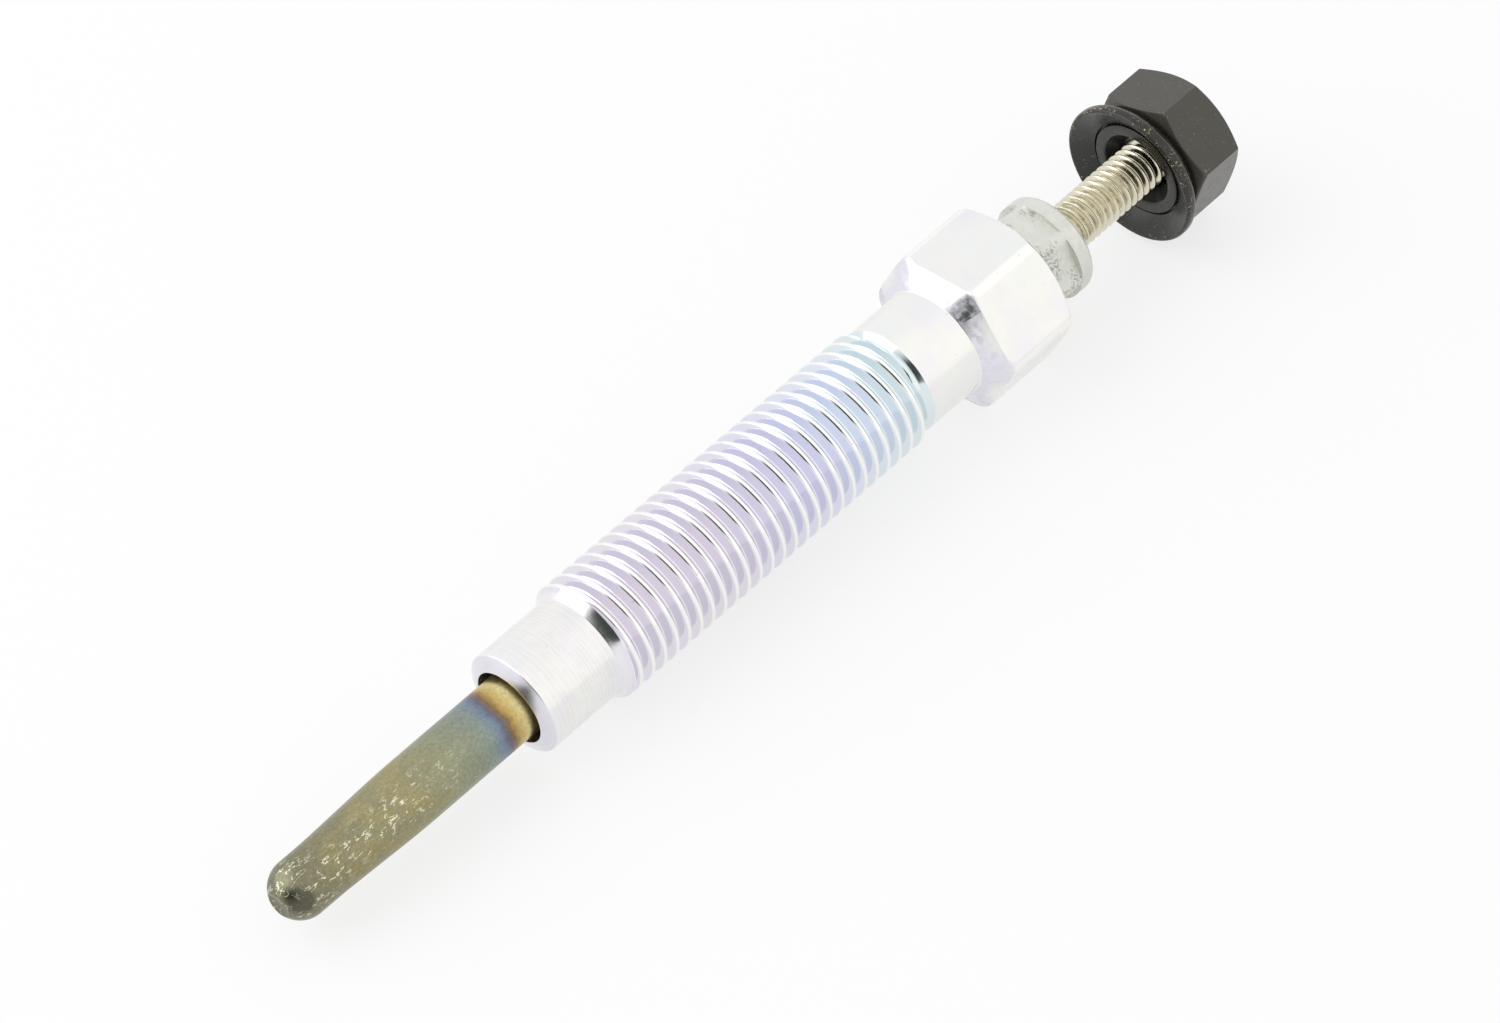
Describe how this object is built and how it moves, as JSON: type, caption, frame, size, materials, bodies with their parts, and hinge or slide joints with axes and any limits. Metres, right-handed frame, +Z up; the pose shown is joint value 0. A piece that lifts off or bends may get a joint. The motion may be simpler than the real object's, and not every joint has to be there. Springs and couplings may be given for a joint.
{
  "type": "diesel glow plug",
  "caption": "Slim diesel glow plug lying on its side: round heater tube, screwed steel body with a hexagon, and a threaded terminal with a captive-washer nut.",
  "frame": {"origin": "on the floor under the middle of the plug as it lies at rest", "axes": "+X along the plug from the heater tip to the terminal nut, lying level to within the plug's own rest tilt of about 1.5 degrees; +Z up; a flat of the hexagon underneath"},
  "size_m": [0.097, 0.0134, 0.0126],
  "materials": {
    "zinc_plate": "bright zinc plate",
    "heater_alloy": "heat-tinted and scratched",
    "powder": "pressed powder",
    "coil_wire": "oxidised wire",
    "seal_rubber": "matte",
    "nickel": "bright nickel plate",
    "bush_plastic": "moulded",
    "collar_grey": "matte grey",
    "black_oxide": "black oxide"
  },
  "bodies": {
    "plug": {"housing": "zinc_plate", "glow_tube": "heater_alloy", "magnesia_fill": "powder", "heating_coil": "coil_wire", "regulating_coil": "coil_wire", "tube_seal": "seal_rubber", "centre_rod": "nickel", "rod_seal_ring": "seal_rubber", "insulating_bush": "bush_plastic", "crimp_collar": "collar_grey"},
    "washer": {"nut_washer": "black_oxide"},
    "nut": {"terminal_nut": "black_oxide"}
  },
  "joints": [
    {"name": "nut_travel", "type": "slide", "parent": "plug", "child": "washer", "axis": [0.9996, 0, 0.0271], "range_m": [-0.0096, 0.0024]},
    {"name": "nut_turn", "type": "hinge", "parent": "washer", "child": "nut", "pos_m": [0.0437, 0, 0.00662], "axis": [0.9996, 0, 0.0271], "range_deg": [-4937.2, 1234.3]}
  ],
  "couplings": [
    {"joint": "nut_turn", "follows": "nut_travel", "rad_per_m": 8976}
  ]
}
